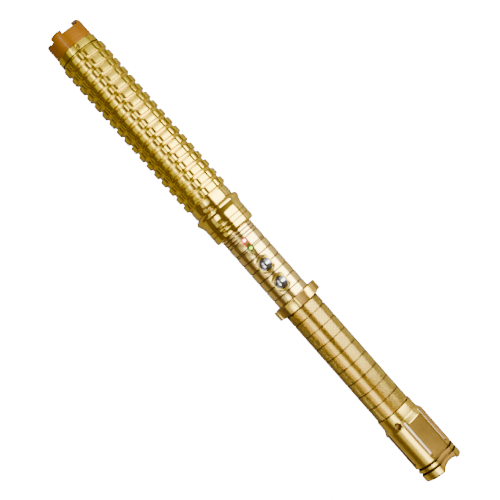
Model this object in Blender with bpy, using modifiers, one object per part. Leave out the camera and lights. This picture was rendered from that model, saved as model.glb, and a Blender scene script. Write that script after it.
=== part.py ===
"""Aluminium baton torch, modelled as the separate pieces that it comes apart into.

The torch lies along X with its lamp towards +X, its buttons on top (+Z), and its origin on
its axis at mid-length. Lengths along it are stations: millimetres behind the front rim.
All dimensions here are in millimetres, and turn into metres where a mesh is made.
"""
import math

import bmesh
import bpy
from mathutils import Matrix, Vector

MM = 0.001
GAP = 0.3                  # clearance between two pieces that touch on the real torch
WALL_ANGLE = math.radians(32)

# Outside, from front to back
LENGTH = 395.0
FRONT_X = LENGTH / 2
CROWN_END = 14.4
BEZEL_END = 20.15
HEAD_END = 150.9
NECK_END = 158.3
COLLAR_END = 180.3
CONTROL_END = 239.8
GUARD_END = 248.0
GRIP_END = 342.7

CROWN_R = 14.9
CROWN_NOSE = 1.9
BEZEL_R = 15.7
RIB_CREST_R = 17.1
RIB_GROOVE_R = 15.45
RIB_COUNT = 17
RIB_CREST_HALF = 2.15
RIB_FOOT_HALF = 2.95
NECK_R = 15.6
COLLAR_R = 16.1
FLARE_R = 17.9
FLARE_RISE = 2.8
FLARE_TOP = 0.8
FLARE_SWEEP = 5.8
CONTROL_R = 12.75
GUARD_R = 17.85
GRIP_R = 13.3
GRIP_RINGS = 8
GRIP_RING_FIRST = 256.1
GRIP_RING_PITCH = 10.83
GRIP_RING_DEPTH = 0.45
TAIL_COLLAR_R = 14.1
TAIL_COLLAR_END = 350.2
TAIL_R = 16.05
TAIL_CONE_END = 354.2

# Crown teeth: four notches between them, with a steel tip in each tooth corner
NOTCH_COUNT = 4
NOTCH_FIRST = math.radians(-24.5)
NOTCH_WIDTH = math.radians(58)
NOTCH_DEPTH = 3.6
TIP_R = 0.6
TIP_LENGTH = 3.0
TIP_LEAN = math.radians(28)

# Bores and spigots that hold the tubes together
LENS_BORE_R = 12.7
SPIGOT_R = 14.0
SPIGOT_END = 26.0
SPIGOT_SEAT_END = 28.0
HEAD_BORE_R = 13.6
COLLAR_SPIGOT_R = 13.2
COLLAR_SPIGOT_START = 144.0
COLLAR_BORE_R = 12.15
CONTROL_FRONT_SPIGOT_R = 11.8
CONTROL_FRONT_SPIGOT_START = 162.0
CONTROL_BORE_R = 10.5
CONTROL_REAR_SPIGOT_R = 11.6
CONTROL_REAR_SPIGOT_END = 257.0
CELL_STOP = 258.0          # where the grip's counterbore ends and the cells' bore begins
GUARD_BORE_R = 11.95
GRIP_BORE_R = 9.6
GRIP_SPIGOT_R = 11.4
GRIP_SPIGOT_END = 358.0
SEAL_GROOVE_START = 345.2
SEAL_GROOVE_END = 347.6
SEAL_GROOVE_R = 10.0
SEAL_SIZE = 0.75
TAIL_FRONT_BORE_R = 12.1
TAIL_FRONT_BORE_END = 358.6
TAIL_FLOOR = 389.0

# Lamp
LENS_FRONT = 5.8
LENS_THICK = 1.8
LENS_R = 12.3
REFLECTOR_FRONT = 9.6
REFLECTOR_DEPTH = 19.0
REFLECTOR_MOUTH_R = 11.2
REFLECTOR_THROAT_R = 3.4
LED_BOARD_FRONT = 29.0
HEAT_SINK_FRONT = 31.0
HEAT_SINK_LENGTH = 14.0
DRIVER_FRONT = 46.5

# Buttons and indicators on top of the control tube
RED_LIGHT_STATION = 189.0
GREEN_LIGHT_STATION = 195.7
LIGHT_R = 1.35
LIGHT_HOLE_R = 1.7
LIGHT_RECESS_R = 2.05
LIGHT_RECESS_Z = 12.1
POWER_STATION = 210.3
MODE_STATION = 226.3
BUTTON_R = 4.2
BUTTON_HOLE_R = 4.55
BUTTON_TOP_Z = 13.9
SPOT_FACE_R = 6.7
SPOT_FACE_Z = 11.7
BUTTON_FLANGE_R = 4.9
BUTTON_FLANGE_Z = 8.2
BOARD_TOP_Z = 2.0
BOARD_THICK = 1.6
BOARD_START = 184.0
BOARD_END = 236.0
SWITCH_SIDE = 6.0
SWITCH_TOP_Z = 5.5
SWITCH_STEM_Z = 6.1

# Guard ring
GUARD_LOBES = 6
GUARD_SCALLOP_FIRST = math.radians(-13)
GUARD_SCALLOP_R = 9.0
GUARD_WAIST_R = 15.9

# Cells and contacts: two standard 18650 cells in line
CELL_R = 9.2
CELL_LENGTH = 65.0
CELL_NUB_R = 2.8
CELL_NUB = 1.2
FRONT_CELL_START = 253.4
INSULATOR_START = 247.0
INSULATOR_END = 249.6
STUD_START = 243.0
STUD_END = 251.6

# Tail cap
TAIL_FLATS = 3
TAIL_FLAT_FIRST = math.radians(-25)
TAIL_FLAT_DISTANCE = 14.0
TAIL_FLAT_HALF_WIDTH = 6.6
TAIL_FLAT_START = 354.4
TAIL_FLAT_END = 397.0      # past the end: the flats run right through
TAIL_SLOTS = 6
TAIL_SLOT_FIRST = math.radians(2.5)
TAIL_SLOT_START = 351.3
TAIL_SLOT_END = 380.6
TAIL_SLOT_WIDTH = 1.9
TAIL_SLOT_FLOOR_R = 14.9
TAIL_RINGS = (384.3, 388.3)
TAIL_RING_R = 13.6
TAIL_RECESS_R = 12.6
TAIL_RECESS_FLOOR = 391.3
TAIL_RIM_DEPTH = 3.5
TAIL_RIM_CUT_R = 11.25
TAIL_RIM_INNER_R = 10.5

PARTS = None
CUTTERS = None


# ---------------------------------------------------------------- scene and materials

def clear_scene():
    for obj in list(bpy.data.objects):
        bpy.data.objects.remove(obj)


def new_collection(name):
    collection = bpy.data.collections.new(name)
    bpy.context.scene.collection.children.link(collection)
    return collection


def material(name, colour, roughness, metallic):
    mat = bpy.data.materials.new(name)
    mat.use_nodes = True
    shader = mat.node_tree.nodes["Principled BSDF"]
    shader.inputs["Base Color"].default_value = (*colour, 1.0)
    shader.inputs["Roughness"].default_value = roughness
    shader.inputs["Metallic"].default_value = metallic
    return mat


def add_part(name, mesh, mat):
    obj = bpy.data.objects.new(name, mesh)
    mesh.materials.append(mat)
    PARTS.objects.link(obj)
    return obj


def x_at(station):
    """World X, in millimetres, of a station behind the front rim."""
    return FRONT_X - station


def span(start, end):
    """The stretch that a piece fills between two stations, less half the clearance at each."""
    return start + GAP / 2, end - GAP / 2


def around(angle, radius):
    """(Y, Z) of a point at an angle from the top, turning towards +Y."""
    return radius * math.sin(angle), radius * math.cos(angle)


# ---------------------------------------------------------------- shape helpers

def turned_mesh(name, outline):
    """An outline of (X, radius) points, run so that the turned faces point outwards."""
    doubled_area = 0.0
    for (x0, r0), (x1, r1) in zip(outline, outline[1:] + outline[:1]):
        doubled_area += x0 * r1 - x1 * r0
    if doubled_area < 0:
        outline = outline[::-1]
    on_axis = outline[0][1] == 0 and outline[-1][1] == 0
    count = len(outline)
    edges = [(i, i + 1) for i in range(count - 1)]
    if not on_axis:
        edges.append((count - 1, 0))
    mesh = bpy.data.meshes.new(name)
    mesh.from_pydata([(x * MM, 0, r * MM) for x, r in outline], edges, [])
    return mesh


def roll_to_axis(outline):
    """Start a solid outline at one of its two points on the axis, and end it at the other."""
    count = len(outline)
    for i in range(count):
        if outline[i][1] == 0 and outline[(i + 1) % count][1] == 0:
            return outline[i + 1:] + outline[:i + 1]
    return outline


def turn(obj, steps):
    screw = obj.modifiers.new("Turn", "SCREW")
    screw.axis = "X"
    screw.steps = steps
    screw.render_steps = steps
    screw.use_merge_vertices = True
    screw.merge_threshold = 0.00001
    return obj


def turned(name, outline, mat, steps=24):
    """A piece turned about the torch's axis from (station, radius) points."""
    points = roll_to_axis([(x_at(station), radius) for station, radius in outline])
    return turn(add_part(name, turned_mesh(name, points), mat), steps)


def upright(name, station, outline, mat, steps=20):
    """A piece turned about a vertical line through the torch's axis, from (Z, radius) points."""
    obj = turn(add_part(name, turned_mesh(name, roll_to_axis(outline)), mat), steps)
    obj.rotation_euler.y = -math.pi / 2
    obj.location.x = x_at(station) * MM
    return obj


def arc(station, radius, size, start, end, count):
    """Points on a rounded edge: angles in degrees, 0 along the torch and 90 outwards."""
    points = []
    for i in range(count + 1):
        angle = math.radians(start + (end - start) * i / count)
        points.append((station + size * math.cos(angle), radius + size * math.sin(angle)))
    return points


def ring_section(station, radius, size, sides=6):
    """The round section of a seal."""
    return arc(station, radius, size, 0, 360 * (sides - 1) / sides, sides - 1)


def box_mesh(name, size):
    bm = bmesh.new()
    bmesh.ops.create_cube(bm, size=1.0)
    bmesh.ops.scale(bm, vec=Vector(size) * MM, verts=bm.verts)
    mesh = bpy.data.meshes.new(name)
    bm.to_mesh(mesh)
    bm.free()
    return mesh


def cylinder_mesh(name, radius, depth, sides=24, top_radius=None):
    """A cylinder or cone along its own Z, centred on its origin."""
    top = radius if top_radius is None else top_radius
    bm = bmesh.new()
    bmesh.ops.create_cone(bm, cap_ends=True, segments=sides, radius1=radius * MM,
                          radius2=top * MM, depth=depth * MM)
    mesh = bpy.data.meshes.new(name)
    bm.to_mesh(mesh)
    bm.free()
    return mesh


def stadium_mesh(name, length, width, depth, sides=10):
    """A round-ended block: a cylinder along Z whose two halves are drawn apart along X."""
    mesh = cylinder_mesh(name, width / 2, depth, sides)
    stretch = (length - width) / 2 * MM
    for vertex in mesh.vertices:
        vertex.co.x += math.copysign(stretch, vertex.co.x)
    return mesh


def cutter(name, mesh, matrix):
    obj = bpy.data.objects.new(name, mesh)
    obj.matrix_world = matrix
    obj.hide_render = True
    obj.display_type = "WIRE"
    CUTTERS.objects.link(obj)
    return obj


def cut(obj, tool):
    boolean = obj.modifiers.new("Cut " + tool.name, "BOOLEAN")
    boolean.operation = "DIFFERENCE"
    boolean.object = tool


def spoke(station, angle, radius):
    """A frame at this place around the torch: its Z points outwards, its X along the torch."""
    y, z = around(angle, radius)
    place = Matrix.Translation(Vector((x_at(station), y, z)) * MM)
    return place @ Matrix.Rotation(-angle, 4, "X")


def tube(name, points, radius, mat, sides_level=2):
    """A wire along points in millimetres, made a mesh so that its end caps are welded on."""
    curve = bpy.data.curves.new(name, "CURVE")
    curve.dimensions = "3D"
    curve.bevel_depth = radius * MM
    curve.bevel_resolution = sides_level
    curve.use_fill_caps = True
    spline = curve.splines.new("POLY")
    spline.points.add(len(points) - 1)
    for slot, point in zip(spline.points, points):
        slot.co = (*(Vector(point) * MM), 1.0)
    guide = bpy.data.objects.new(name + "_guide", curve)
    bpy.context.scene.collection.objects.link(guide)
    graph = bpy.context.evaluated_depsgraph_get()
    mesh = bpy.data.meshes.new_from_object(guide.evaluated_get(graph))
    bpy.data.objects.remove(guide)
    mesh.name = name
    mesh.materials.clear()
    bm = bmesh.new()
    bm.from_mesh(mesh)
    bmesh.ops.remove_doubles(bm, verts=bm.verts, dist=0.000001)
    bmesh.ops.recalc_face_normals(bm, faces=bm.faces)
    bm.to_mesh(mesh)
    bm.free()
    return add_part(name, mesh, mat)


# ---------------------------------------------------------------- front end

def make_crown_bezel(mat):
    start, end = 0.0, CROWN_END - GAP / 2
    lip_r = 11.4
    outline = [(start, lip_r)]
    outline += arc(start + CROWN_NOSE, CROWN_R - CROWN_NOSE, CROWN_NOSE, 180, 90, 4)
    outline += [(end, CROWN_R), (end, SPIGOT_R), (SPIGOT_END, SPIGOT_R), (SPIGOT_END, LENS_BORE_R)]
    outline += [(LENS_FRONT - GAP, LENS_BORE_R), (LENS_FRONT - GAP, lip_r)]
    crown = turned("crown_bezel", outline, mat, steps=36)
    tangent_width = 2 * CROWN_R * math.sin(NOTCH_WIDTH / 2)
    for i in range(NOTCH_COUNT):
        angle = NOTCH_FIRST + i * math.tau / NOTCH_COUNT
        block = box_mesh(f"notch_{i}", (2 * NOTCH_DEPTH, tangent_width, 8.0))
        cut(crown, cutter(f"notch_{i}", block, spoke(start, angle, CROWN_R)))


def make_crown_tips(mat):
    """Pointed steel pins that lean out of the tooth corners into each notch."""
    half_notch = CROWN_R * math.sin(NOTCH_WIDTH / 2)
    pin_r = CROWN_R * math.cos(NOTCH_WIDTH / 2) - 0.9
    for i in range(2 * NOTCH_COUNT):
        side = 1 if i % 2 else -1
        angle = NOTCH_FIRST + (i // 2) * math.tau / NOTCH_COUNT
        pin = add_part(f"crown_tip_{i + 1}", cylinder_mesh("pin", TIP_R, TIP_LENGTH, 8, 0.12), mat)
        # The pin's own Z turns from outwards to across the notch, then forwards by its lean.
        across = Matrix.Rotation(side * math.pi / 2, 4, "X")
        forwards = Matrix.Rotation(TIP_LEAN, 4, "Y")
        foot = Matrix.Translation(Vector((0, side * (half_notch - GAP), pin_r)) * MM)
        rise = Matrix.Translation(Vector((0, 0, TIP_LENGTH / 2)) * MM)
        frame = spoke(NOTCH_DEPTH / 2 + 0.3, angle, 0)
        pin.matrix_world = frame @ foot @ across @ forwards @ rise


def make_bezel_ring(mat, steel):
    start, end = span(CROWN_END, BEZEL_END)
    bore_r = SPIGOT_R + GAP
    outline = [(start, bore_r), (start, BEZEL_R - 0.4), (start + 0.4, BEZEL_R)]
    outline += [(end - 0.4, BEZEL_R), (end, BEZEL_R - 0.4), (end, bore_r)]
    ring = turned("bezel_ring", outline, mat, steps=32)
    screw_station = (start + end) / 2
    screw_angle = math.radians(-7)
    hole_r = 1.35
    middle_r = (bore_r + BEZEL_R) / 2
    hole = cylinder_mesh("grub_hole", hole_r, 6.0, 12)
    cut(ring, cutter("grub_hole", hole, spoke(screw_station, screw_angle, middle_r)))
    grub = add_part("bezel_grub_screw", cylinder_mesh("grub", hole_r - GAP, 0.9, 12), steel)
    grub.matrix_world = spoke(screw_station, screw_angle, bore_r + 0.5)


def make_lens(glass, rubber):
    back = LENS_FRONT + LENS_THICK
    outline = [(LENS_FRONT, 0), (LENS_FRONT, LENS_R - 0.3), (LENS_FRONT + 0.3, LENS_R)]
    outline += [(back - 0.3, LENS_R), (back, LENS_R - 0.3), (back, 0)]
    turned("lens", outline, glass)
    seal_size = 0.7
    seal_station = (back + REFLECTOR_FRONT) / 2
    turned("lens_seal", ring_section(seal_station, LENS_R - seal_size, seal_size), rubber, 16)


def make_reflector(mat):
    """A parabola from mouth to throat, 1.1 mm thick, with a rim that carries the seal."""
    wall = 1.1
    steps = 7
    inner = []
    for i in range(steps + 1):
        share = i / steps
        radius = math.sqrt(REFLECTOR_MOUTH_R ** 2 * (1 - share) + REFLECTOR_THROAT_R ** 2 * share)
        inner.append((REFLECTOR_FRONT + REFLECTOR_DEPTH * share, radius))
    outer = [(station, radius + wall) for station, radius in inner]
    rim = [(REFLECTOR_FRONT + 1.2, outer[0][1]), (REFLECTOR_FRONT, outer[0][1])]
    turned("reflector", inner + outer[:0:-1] + rim, mat, steps=20)


def make_led(emitter, board, brass):
    board_end = LED_BOARD_FRONT + 1.6
    turned("led_board", [(LED_BOARD_FRONT, 0), (LED_BOARD_FRONT, 10.0), (board_end, 10.0),
                         (board_end, 0)], board, steps=24)
    dome_r = 2.4
    foot = LED_BOARD_FRONT - GAP
    dome = arc(foot - 0.4, 0, dome_r, 180, 90, 4)
    dome[0] = (dome[0][0], 0)
    turned("led_emitter", dome + [(foot, dome_r), (foot, 0)], emitter, steps=16)
    end = HEAT_SINK_FRONT + HEAT_SINK_LENGTH
    sink_r = HEAD_BORE_R - GAP
    waist = [(HEAT_SINK_FRONT + 6, sink_r), (HEAT_SINK_FRONT + 6, sink_r - 1.5),
             (HEAT_SINK_FRONT + 8, sink_r - 1.5), (HEAT_SINK_FRONT + 8, sink_r)]
    turned("heat_sink", [(HEAT_SINK_FRONT, 0), (HEAT_SINK_FRONT, sink_r)] + waist
           + [(end, sink_r), (end, 0)], brass)
    driver_end = DRIVER_FRONT + 1.6
    turned("lamp_driver_board", [(DRIVER_FRONT, 0), (DRIVER_FRONT, 11.0), (driver_end, 11.0),
                                 (driver_end, 0)], board, steps=24)


# ---------------------------------------------------------------- head and collar

def make_head_body(mat):
    start, end = span(BEZEL_END, HEAD_END)
    pitch = (end - start) / RIB_COUNT
    outline = []
    for i in range(RIB_COUNT):
        middle = start + (i + 0.5) * pitch
        outline += [(middle - RIB_FOOT_HALF, RIB_GROOVE_R), (middle - RIB_CREST_HALF, RIB_CREST_R)]
        outline += [(middle + RIB_CREST_HALF, RIB_CREST_R), (middle + RIB_FOOT_HALF, RIB_GROOVE_R)]
    seat_r = SPIGOT_R + GAP
    outline = [(start, seat_r), (start, RIB_GROOVE_R)] + outline
    outline += [(end, RIB_GROOVE_R), (end, HEAD_BORE_R)]
    outline += [(SPIGOT_SEAT_END, HEAD_BORE_R), (SPIGOT_SEAT_END, seat_r)]
    turned("head_body", outline, mat, steps=20)


def make_neck_ring(mat):
    start, end = span(HEAD_END, NECK_END)
    step = 0.35
    outline = [(start, HEAD_BORE_R), (start, NECK_R - step), (start + 0.7, NECK_R - step)]
    outline += [(start + 0.7, NECK_R), (end - 0.7, NECK_R), (end - 0.7, NECK_R - step)]
    outline += [(end, NECK_R - step), (end, HEAD_BORE_R)]
    turned("neck_ring", outline, mat, steps=24)


def make_flared_collar(mat):
    """A rounded ridge, a hollow sweep down to a cylinder, and a spigot into the head."""
    start, end = span(NECK_END, COLLAR_END)
    outline = [(COLLAR_SPIGOT_START, COLLAR_BORE_R), (COLLAR_SPIGOT_START, COLLAR_SPIGOT_R)]
    outline += [(start, COLLAR_SPIGOT_R)]
    steps = 5
    for i in range(steps + 1):
        angle = i / steps * math.pi / 2
        outline.append((start + FLARE_RISE * (1 - math.cos(angle)),
                        NECK_R + (FLARE_R - NECK_R) * math.sin(angle)))
    sweep_start = start + FLARE_RISE + FLARE_TOP
    for i in range(steps + 1):
        share = i / steps
        rise = (FLARE_R - COLLAR_R) * (1 - share) ** 2
        outline.append((sweep_start + FLARE_SWEEP * share, COLLAR_R + rise))
    outline += arc(end - 0.9, COLLAR_R - 0.9, 0.9, 90, 0, 3)
    outline.append((end, COLLAR_BORE_R))
    turned("flared_collar", outline, mat, steps=24)


# ---------------------------------------------------------------- control section

def make_control_tube(mat):
    start, end = span(COLLAR_END, CONTROL_END)
    edge = 0.35
    outline = [(CONTROL_FRONT_SPIGOT_START, CONTROL_BORE_R)]
    outline += [(CONTROL_FRONT_SPIGOT_START, CONTROL_FRONT_SPIGOT_R)]
    outline += [(start, CONTROL_FRONT_SPIGOT_R), (start, CONTROL_R - edge), (start + edge, CONTROL_R)]
    outline += [(end - edge, CONTROL_R), (end, CONTROL_R - edge), (end, CONTROL_REAR_SPIGOT_R)]
    outline += [(CONTROL_REAR_SPIGOT_END, CONTROL_REAR_SPIGOT_R)]
    outline += [(CONTROL_REAR_SPIGOT_END, CONTROL_BORE_R)]
    body = turned("control_tube", outline, mat, steps=32)
    height = 8.0
    for name, station in (("power", POWER_STATION), ("mode", MODE_STATION)):
        face = cylinder_mesh(name + "_spot_face", SPOT_FACE_R, height, 24)
        cut(body, cutter(name + "_spot_face", face, spoke(station, 0, SPOT_FACE_Z + height / 2)))
        hole = cylinder_mesh(name + "_hole", BUTTON_HOLE_R, height, 20)
        cut(body, cutter(name + "_hole", hole, spoke(station, 0, SPOT_FACE_Z)))
    for name, station in (("red", RED_LIGHT_STATION), ("green", GREEN_LIGHT_STATION)):
        recess = cylinder_mesh(name + "_recess", LIGHT_RECESS_R, height, 12)
        cut(body, cutter(name + "_recess", recess, spoke(station, 0, LIGHT_RECESS_Z + height / 2)))
        hole = cylinder_mesh(name + "_light_hole", LIGHT_HOLE_R, height, 12)
        cut(body, cutter(name + "_light_hole", hole, spoke(station, 0, LIGHT_RECESS_Z)))


def make_indicator(name, station, mat):
    """A clear light guide: it stands on the board and ends in a dome in the tube's surface."""
    top = 12.9
    dome = arc(top - LIGHT_R, 0, LIGHT_R, 90, 0, 3)
    dome[-1] = (top, 0)
    upright(name, station, [(BOARD_TOP_Z + GAP, 0), (BOARD_TOP_Z + GAP, LIGHT_R)] + dome, mat, 12)


def make_button(name, station, mat):
    """A domed cap with a flange that keeps it in the tube and a stem that meets the switch."""
    shoulder_z = 12.5
    flange_top = BUTTON_FLANGE_Z + 0.8
    stem_r = 1.5
    stem_end = SWITCH_STEM_Z + 1.0
    outline = [(stem_end, 0), (stem_end, stem_r), (BUTTON_FLANGE_Z, stem_r)]
    outline += [(BUTTON_FLANGE_Z, BUTTON_FLANGE_R), (flange_top, BUTTON_FLANGE_R)]
    outline.append((flange_top, BUTTON_R))
    steps = 5
    for i in range(steps + 1):
        angle = i / steps * math.pi / 2
        height = shoulder_z + (BUTTON_TOP_Z - shoulder_z) * math.sin(angle)
        outline.append((height, BUTTON_R * math.cos(angle) if i < steps else 0))
    upright(name, station, outline, mat)


def make_button_spring(name, station, mat):
    """A small coil round the stem, between the switch's case and the button's flange."""
    wire_r = 0.22
    coil_r = 2.3
    turns = 3
    per_turn = 10
    bottom = SWITCH_TOP_Z + GAP + wire_r
    top = BUTTON_FLANGE_Z - GAP - wire_r
    points = []
    for i in range(turns * per_turn + 1):
        angle = math.tau * i / per_turn
        height = bottom + (top - bottom) * i / (turns * per_turn)
        points.append((x_at(station) + coil_r * math.cos(angle), coil_r * math.sin(angle), height))
    tube(name, points, wire_r, mat, sides_level=1)


def make_switch(name, station, mat):
    """A square tact switch whose round actuator stands under the button's stem."""
    bottom = BOARD_TOP_Z + GAP
    case = add_part(name, box_mesh(name, (SWITCH_SIDE, SWITCH_SIDE, SWITCH_TOP_Z - bottom)), mat)
    case.location = Vector((x_at(station), 0, (SWITCH_TOP_Z + bottom) / 2)) * MM
    plunger = cutter(name + "_plunger", cylinder_mesh("plunger", 1.6, 2.0, 12),
                     spoke(station, 0, SWITCH_STEM_Z - 1.0))
    join = case.modifiers.new("Plunger", "BOOLEAN")
    join.operation = "UNION"
    join.object = plunger


def make_control_board(board, plastic):
    """The board lies across the tube in a half-round cradle."""
    length = BOARD_END - BOARD_START
    width = 19.0
    middle = x_at((BOARD_START + BOARD_END) / 2)
    plate = add_part("control_board", box_mesh("control_board", (length, width, BOARD_THICK)), board)
    plate.location = Vector((middle, 0, BOARD_TOP_Z - BOARD_THICK / 2)) * MM
    cradle_r = CONTROL_BORE_R - GAP
    outline = [(BOARD_START, 0), (BOARD_START, cradle_r), (BOARD_END, cradle_r), (BOARD_END, 0)]
    cradle = turned("board_cradle", outline, plastic, steps=24)
    height = 20.0
    floor = BOARD_TOP_Z - BOARD_THICK - GAP
    upper = box_mesh("cradle_upper", (length + 10, 40.0, height))
    place = Matrix.Translation(Vector((middle, 0, floor + height / 2)) * MM)
    cut(cradle, cutter("cradle_upper", upper, place))


def make_lamp_leads(red, black):
    """Two leads from the lamp driver to the board, side by side along the head's bore."""
    for name, side, mat in (("lamp_lead_positive", 1, red), ("lamp_lead_negative", -1, black)):
        points = []
        start, end = DRIVER_FRONT + 2.4, BOARD_START - 0.8
        lead_r = 0.8
        apart = 3.0
        height = 1.2
        count = 16
        for i in range(count + 1):
            share = i / count
            sway = math.sin(share * math.pi * 3) * 1.2
            points.append((x_at(start + (end - start) * share), side * (apart + sway), height))
        tube(name, points, lead_r, mat, sides_level=1)


# ---------------------------------------------------------------- guard, grip and cells

def make_guard_ring(mat):
    start, end = span(CONTROL_END, GUARD_END)
    hub_r = 14.6
    hub_start = end - 0.8
    edge = 1.1
    outline = [(start, GUARD_BORE_R)]
    outline += arc(start + edge, GUARD_R - edge, edge, 180, 90, 3)
    outline += arc(hub_start - edge, GUARD_R - edge, edge, 90, 0, 3)
    outline += [(hub_start, hub_r), (end, hub_r), (end, GUARD_BORE_R)]
    ring = turned("guard_ring", outline, mat, steps=36)
    for i in range(GUARD_LOBES):
        angle = GUARD_SCALLOP_FIRST + i * math.tau / GUARD_LOBES
        mesh = cylinder_mesh(f"scallop_{i}", GUARD_SCALLOP_R, 20.0, 28)
        frame = spoke((start + end) / 2, angle, GUARD_WAIST_R + GUARD_SCALLOP_R)
        lying = frame @ Matrix.Rotation(math.pi / 2, 4, "Y")
        cut(ring, cutter(f"scallop_{i}", mesh, lying))


def make_grip_tube(mat):
    start, end = span(GUARD_END, GRIP_END)
    counterbore_r = CONTROL_REAR_SPIGOT_R + GAP
    edge = 0.4
    half_ring = 0.45
    outline = [(start, counterbore_r), (start, GRIP_R - edge), (start + edge, GRIP_R)]
    for i in range(GRIP_RINGS):
        station = GRIP_RING_FIRST + i * GRIP_RING_PITCH
        outline += [(station - half_ring, GRIP_R), (station, GRIP_R - GRIP_RING_DEPTH)]
        outline.append((station + half_ring, GRIP_R))
    outline += [(end - edge, GRIP_R), (end, GRIP_R - edge), (end, GRIP_SPIGOT_R)]
    outline += [(SEAL_GROOVE_START, GRIP_SPIGOT_R), (SEAL_GROOVE_START, SEAL_GROOVE_R)]
    outline += [(SEAL_GROOVE_END, SEAL_GROOVE_R), (SEAL_GROOVE_END, GRIP_SPIGOT_R)]
    outline += [(GRIP_SPIGOT_END, GRIP_SPIGOT_R), (GRIP_SPIGOT_END, GRIP_BORE_R)]
    outline += [(CELL_STOP, GRIP_BORE_R), (CELL_STOP, counterbore_r)]
    turned("grip_tube", outline, mat, steps=20)


def make_tail_seal(mat):
    station = (SEAL_GROOVE_START + SEAL_GROOVE_END) / 2
    turned("tail_seal", ring_section(station, SEAL_GROOVE_R + SEAL_SIZE + 0.35, SEAL_SIZE), mat, 16)


def make_front_contact(plastic, brass):
    """An insulating disc in the control tube's end, and the brass stud that the cell meets."""
    stud_r = 1.5
    head_r = 3.4
    head_start = INSULATOR_END + GAP
    disc_r = CONTROL_BORE_R - GAP
    hole_r = stud_r + GAP
    disc = [(INSULATOR_START, hole_r), (INSULATOR_START, disc_r)]
    disc += [(INSULATOR_END, disc_r), (INSULATOR_END, hole_r)]
    turned("contact_insulator", disc, plastic, steps=24)
    stud = [(STUD_START, 0), (STUD_START, stud_r), (head_start, stud_r), (head_start, head_r)]
    stud += [(STUD_END, head_r), (STUD_END, 0)]
    turned("front_contact", stud, brass, steps=16)


def make_cells(mat):
    for i, name in enumerate(("front_cell", "rear_cell")):
        nub = FRONT_CELL_START + i * (CELL_LENGTH + GAP)
        shoulder = nub + CELL_NUB
        end = nub + CELL_LENGTH
        edge = 0.5
        turned(name, [(nub, 0), (nub, CELL_NUB_R), (shoulder, CELL_NUB_R),
                      (shoulder, CELL_R - edge), (shoulder + edge, CELL_R), (end - edge, CELL_R),
                      (end, CELL_R - edge), (end, 0)], mat, steps=24)


# ---------------------------------------------------------------- tail cap

def tail_outline():
    start, end = GRIP_END + GAP / 2, LENGTH
    edge = 1.2
    lip = 0.4
    half_ring = 0.6
    outline = [(start, TAIL_FRONT_BORE_R), (start, TAIL_COLLAR_R - lip)]
    outline += [(start + lip, TAIL_COLLAR_R), (TAIL_COLLAR_END, TAIL_COLLAR_R)]
    outline.append((TAIL_CONE_END, TAIL_R))
    for station in TAIL_RINGS:
        outline += [(station - half_ring, TAIL_R), (station - 0.4 * half_ring, TAIL_RING_R)]
        outline += [(station + 0.4 * half_ring, TAIL_RING_R), (station + half_ring, TAIL_R)]
    outline += arc(end - edge, TAIL_R - edge, edge, 90, 0, 3)
    outline += [(end, TAIL_RECESS_R), (TAIL_RECESS_FLOOR, TAIL_RECESS_R), (TAIL_RECESS_FLOOR, 0)]
    outline += [(TAIL_FLOOR, 0), (TAIL_FLOOR, GRIP_BORE_R)]
    outline += [(TAIL_FRONT_BORE_END, GRIP_BORE_R), (TAIL_FRONT_BORE_END, TAIL_FRONT_BORE_R)]
    return outline


def make_tail_cap(mat):
    """A cup with three milled flats, six slots and, round its recessed end, a rim cut in three."""
    cap = turned("tail_cap", tail_outline(), mat, steps=36)
    flat_length = TAIL_FLAT_END - TAIL_FLAT_START
    flat_middle = (TAIL_FLAT_END + TAIL_FLAT_START) / 2
    depth = 4.0
    for i in range(TAIL_FLATS):
        angle = TAIL_FLAT_FIRST + i * math.tau / TAIL_FLATS
        block = box_mesh(f"flat_{i}", (flat_length, 2 * TAIL_FLAT_HALF_WIDTH, depth))
        place = spoke(flat_middle, angle, TAIL_FLAT_DISTANCE + depth / 2)
        cut(cap, cutter(f"flat_{i}", block, place))
        rim = cylinder_mesh(f"rim_{i}", TAIL_RIM_CUT_R, 12.0, 32)
        station = LENGTH - TAIL_RIM_DEPTH + TAIL_RIM_CUT_R
        cut(cap, cutter(f"rim_{i}", rim, spoke(station, angle, TAIL_RIM_INNER_R + 6.0)))
    for i in range(TAIL_SLOTS):
        angle = TAIL_SLOT_FIRST + i * math.tau / TAIL_SLOTS
        slot = stadium_mesh(f"slot_{i}", TAIL_SLOT_END - TAIL_SLOT_START, TAIL_SLOT_WIDTH, depth)
        station = (TAIL_SLOT_START + TAIL_SLOT_END) / 2
        cut(cap, cutter(f"slot_{i}", slot, spoke(station, angle, TAIL_SLOT_FLOOR_R + depth / 2)))


def make_tail_contact(steel, brass):
    """A coil that narrows towards the cell, on a plate on the cap's floor."""
    plate_back = TAIL_FLOOR - GAP
    plate_front = plate_back - 0.8
    plate_r = 9.0
    turned("tail_contact", [(plate_front, 0), (plate_front, plate_r), (plate_back, plate_r),
                            (plate_back, 0)], brass, steps=24)
    wire_r = 0.45
    coil_front_r = 3.6
    coil_back_r = 7.6
    front = FRONT_CELL_START + 2 * CELL_LENGTH + GAP + GAP + wire_r
    back = plate_front - GAP - wire_r
    turns = 3
    per_turn = 10
    points = []
    for i in range(turns * per_turn + 1):
        share = i / (turns * per_turn)
        angle = math.tau * turns * share
        y, z = around(angle, coil_front_r + (coil_back_r - coil_front_r) * share)
        points.append((x_at(front + (back - front) * share), y, z))
    tube("tail_spring", points, wire_r, steel, sides_level=1)


# ---------------------------------------------------------------- assembly

def freeze(obj):
    """Replace an object's modifiers with their result, and smooth its round faces."""
    graph = bpy.context.evaluated_depsgraph_get()
    mesh = bpy.data.meshes.new_from_object(obj.evaluated_get(graph))
    obj.modifiers.clear()
    obj.data = mesh
    mesh.name = obj.name
    mesh.shade_smooth()
    mesh.set_sharp_from_angle(angle=WALL_ANGLE)


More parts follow.
